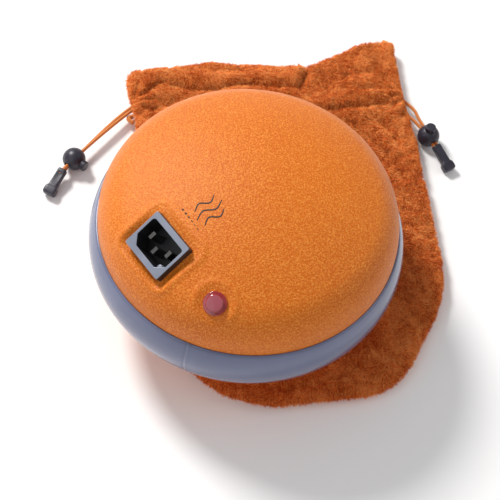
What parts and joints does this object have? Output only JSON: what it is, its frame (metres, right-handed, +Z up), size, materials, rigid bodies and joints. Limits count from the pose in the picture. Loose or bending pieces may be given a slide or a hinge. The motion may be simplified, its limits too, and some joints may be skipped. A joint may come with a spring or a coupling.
{
  "type": "electric hand warmer with pouch",
  "caption": "Domed disc-shaped mains-charged heat-storage hand warmer with rim band, inlet and pilot lamp, lying on its plush drawstring pouch with cord locks.",
  "frame": {"origin": "on the table surface, directly below the warmer's vertical axis, at the underside of the pouch", "axes": "+Z up along the warmer's axis, -Y to the front (inlet and lamp side), +X to the right"},
  "size_m": [0.2509, 0.2809, 0.1085],
  "materials": {
    "orange_vinyl": "pressed steel with bonded leather-grain vinyl, satin",
    "blue_band": "soft vinyl, glossy",
    "gasket_rubber": "matt rubber",
    "zinc_steel": "zinc plated, satin",
    "inlet_plastic": "moulded, satin, with a grey-blue face",
    "nickel_brass": "nickel plated",
    "red_lens": "clear red, gloss",
    "clear_glass": "clear",
    "resistor_lacquer": "lacquered",
    "wire_rubber": "silicone, satin",
    "storage_iron": "as cast, machined on the split face",
    "element_steel": "heat-tinted sheath",
    "felt": "needled mineral felt",
    "thermostat_aluminium": "bright",
    "bimetal": "rolled strip",
    "thermostat_phenolic": "moulded phenolic",
    "orange_plush": "crushed short-pile plush",
    "orange_string": "braided polyester",
    "black_nylon": "moulded nylon, satin",
    "spring_steel": "bright wire"
  },
  "bodies": {
    "pouch": {"pouch_back_panel": "orange_plush", "pouch_front_panel": "orange_plush", "left_string_upper": "orange_string", "left_string_lower": "orange_string", "right_string_far": "orange_string", "right_string_near": "orange_string", "left_bight": "orange_string", "right_bight": "orange_string", "left_cord_end": "black_nylon", "right_cord_end": "black_nylon"},
    "warmer": {"top_cover": "orange_vinyl", "base_cover": "orange_vinyl", "rim_gasket": "gasket_rubber", "clamp_ring": "zinc_steel", "rim_band": "blue_band", "inlet_body": "inlet_plastic", "inlet_pin_live": "nickel_brass", "inlet_pin_neutral": "nickel_brass", "inlet_pin_earth": "nickel_brass", "inlet_clip": "zinc_steel", "lamp_lens": "red_lens", "lamp_bulb": "clear_glass", "lamp_retainer": "zinc_steel", "lamp_resistor": "resistor_lacquer", "lamp_leads": "wire_rubber", "storage_block_lower": "storage_iron", "storage_block_upper": "storage_iron", "heating_element": "element_steel", "element_terminals": "nickel_brass", "insulation_lower": "felt", "insulation_upper": "felt", "core_brackets": "zinc_steel", "bracket_screws": "zinc_steel", "earth_screw": "nickel_brass", "thermostat_cap": "thermostat_aluminium", "thermostat_disc": "bimetal", "thermostat_body": "thermostat_phenolic", "thermostat_terminals": "nickel_brass", "thermostat_lid": "thermostat_phenolic", "thermal_fuse": "thermostat_aluminium", "fuse_clip": "zinc_steel", "live_wire": "wire_rubber", "link_wire": "wire_rubber", "fuse_wire": "wire_rubber", "neutral_wire": "wire_rubber", "earth_wire": "wire_rubber"},
    "left_lock": {"left_lock_ball": "black_nylon", "left_lock_spring": "spring_steel"},
    "left_button": {"left_lock_button": "black_nylon"},
    "right_lock": {"right_lock_ball": "black_nylon", "right_lock_spring": "spring_steel"},
    "right_button": {"right_lock_button": "black_nylon"},
    "thermostat_arm": {"thermostat_arm": "bimetal", "thermostat_peg": "thermostat_phenolic"}
  },
  "joints": [
    {"name": "warmer_lift", "type": "slide", "parent": "pouch", "child": "warmer", "axis": [0, 0, 1], "range_m": [0, 0.12]},
    {"name": "left_lock_slide", "type": "slide", "parent": "pouch", "child": "left_lock", "axis": [0.5165, 0.8563, 0], "range_m": [0, 0.03]},
    {"name": "left_button_press", "type": "slide", "parent": "left_lock", "child": "left_button", "axis": [-0.8563, 0.5165, 0], "range_m": [0, 0.003], "stiffness_N_per_m": 200, "deforming": ["left_lock_spring"]},
    {"name": "right_lock_slide", "type": "slide", "parent": "pouch", "child": "right_lock", "axis": [-0.5791, 0.8153, 0], "range_m": [0, 0.006]},
    {"name": "right_button_press", "type": "slide", "parent": "right_lock", "child": "right_button", "axis": [0, 0, -1], "range_m": [0, 0.003], "stiffness_N_per_m": 200, "deforming": ["right_lock_spring"]},
    {"name": "thermostat_arm_lift", "type": "hinge", "parent": "warmer", "child": "thermostat_arm", "pos_m": [0.0152, -0.0075, 0.0709], "axis": [0, -1, 0], "range_deg": [0, 3], "stiffness_Nm_per_rad": 0.02, "deforming": ["thermostat_disc"]}
  ]
}
